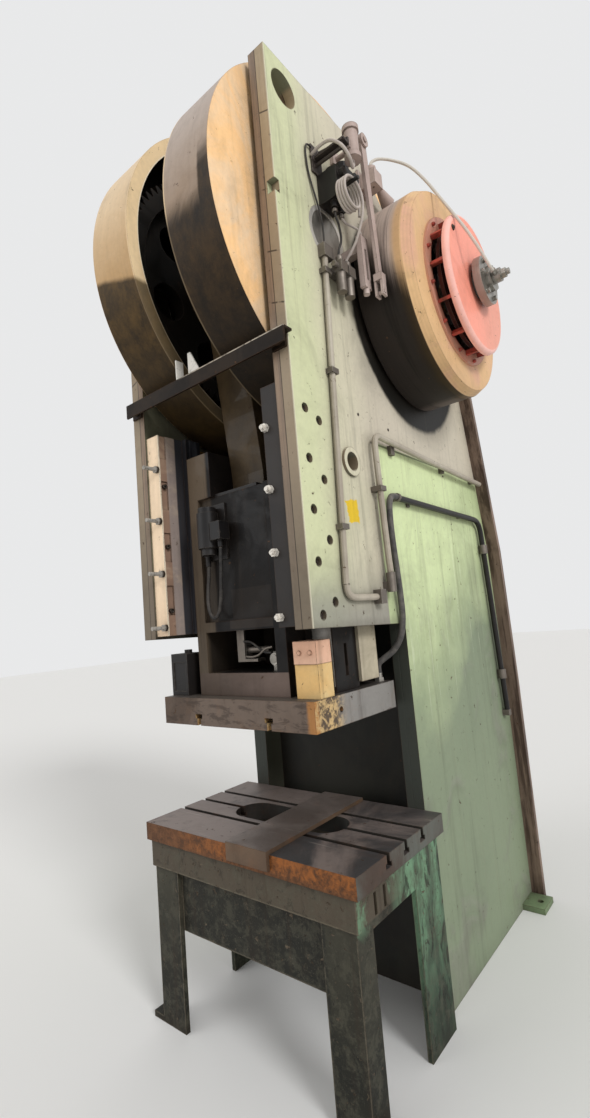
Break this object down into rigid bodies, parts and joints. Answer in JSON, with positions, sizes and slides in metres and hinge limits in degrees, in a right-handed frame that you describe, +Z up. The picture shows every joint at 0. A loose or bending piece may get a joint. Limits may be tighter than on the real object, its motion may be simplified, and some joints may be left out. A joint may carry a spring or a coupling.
{
  "type": "mechanical stamping press",
  "caption": "Open-fronted mechanical stamping press: eccentric shaft with twin bull gears under guards drives a guided slide over a slotted table; side flywheel with air clutch.",
  "frame": {"origin": "midway between the four foundation bolt holes, at floor level", "axes": "+Z up, -Y towards the operator at the front of the press, +X towards the flywheel side"},
  "size_m": [1.6683, 2.1589, 4.256],
  "materials": {
    "sage_paint": "worn sage green enamel",
    "green_paint": "worn green enamel",
    "cream_paint": "worn cream enamel",
    "ochre_paint": "grimy ochre enamel",
    "salmon_paint": "salmon red enamel",
    "orange_paint": "worn orange enamel",
    "pink_steel": "faded pink over steel",
    "dark_steel": "oily dark steel",
    "rusty_steel": "rusted plate",
    "machined_steel": "oiled, machined",
    "cast_iron": "rough, oily",
    "bronze": "oiled bronze",
    "light_metal": "dusty cast alloy",
    "black_paint": "satin black",
    "hose_rubber": "matt, dusty"
  },
  "bodies": {
    "frame": {"side_plate_right": "sage_paint", "side_plate_left": "sage_paint", "back_plate": "green_paint", "cross_plates": "green_paint", "column_feet": "green_paint", "table_base": "green_paint", "table_slab": "rusty_steel", "loose_bar": "rusty_steel", "front_crossbar": "dark_steel", "gear_guard_right": "ochre_paint", "gear_guard_left": "ochre_paint", "bearing_bushes": "bronze", "front_gib_right": "cast_iron", "front_gib_left": "cream_paint", "rear_gibs": "cream_paint", "side_liners": "bronze", "gib_screws": "dark_steel", "gib_studs": "machined_steel", "front_conduit": "cream_paint", "side_pipe": "cream_paint", "air_pipe": "black_paint", "pipe_fittings": "dark_steel", "valve_bracket": "dark_steel", "valve_block": "black_paint", "air_cylinder": "light_metal", "hanger_rod": "machined_steel", "rear_valve": "light_metal", "limit_switch": "light_metal", "air_filter": "light_metal", "air_hoses": "hose_rubber", "feed_pipe": "light_metal", "rotary_union": "machined_steel", "slide_hose": "hose_rubber"},
    "crank": {"eccentric_shaft": "machined_steel", "bull_gears": "cast_iron"},
    "rod": {"conrod": "cast_iron", "conrod_cap": "cast_iron", "rod_bolts": "machined_steel", "rod_bush": "bronze", "adjusting_screw": "machined_steel"},
    "slide": {"slide_body": "cast_iron", "slide_flange": "rusty_steel", "slide_liners": "machined_steel", "ball_seat": "machined_steel", "slide_top_ring": "dark_steel", "stop_block": "orange_paint", "stop_cap": "pink_steel", "oil_box": "black_paint", "window_bracket": "machined_steel", "height_dial": "machined_steel", "adjust_motor": "black_paint", "motor_hose": "hose_rubber", "hose_foot_fitting": "machined_steel"},
    "drive": {"drive_shaft": "machined_steel", "pinions": "machined_steel", "friction_disc": "dark_steel", "hub_plate": "machined_steel"},
    "flywheel": {"flywheel": "ochre_paint", "flywheel_bush": "bronze", "clutch": "salmon_paint"}
  },
  "joints": [
    {"name": "crank_turn", "type": "hinge", "parent": "frame", "child": "crank", "pos_m": [0, -0.59, 3.37], "axis": [1, 0, 0], "range_deg": [0, 180]},
    {"name": "rod_swing", "type": "hinge", "parent": "crank", "child": "rod", "pos_m": [0, -0.59, 3.43], "axis": [1, 0, 0], "range_deg": [-180, 0]},
    {"name": "slide_travel", "type": "slide", "parent": "frame", "child": "slide", "axis": [0, 0, -1], "range_m": [0, 0.12]},
    {"name": "drive_turn", "type": "hinge", "parent": "frame", "child": "drive", "pos_m": [0, 0.08558, 3.25088], "axis": [1, 0, 0], "range_deg": [-702, 0]},
    {"name": "flywheel_spin", "type": "hinge", "parent": "drive", "child": "flywheel", "pos_m": [0.65, 0.08558, 3.25088], "axis": [1, 0, 0], "continuous": true}
  ],
  "couplings": [
    {"joint": "rod_swing", "follows": "crank_turn", "ratio": -1},
    {"joint": "slide_travel", "follows": "crank_turn", "m_per_rad": 0.038197},
    {"joint": "drive_turn", "follows": "crank_turn", "ratio": -3.9}
  ]
}
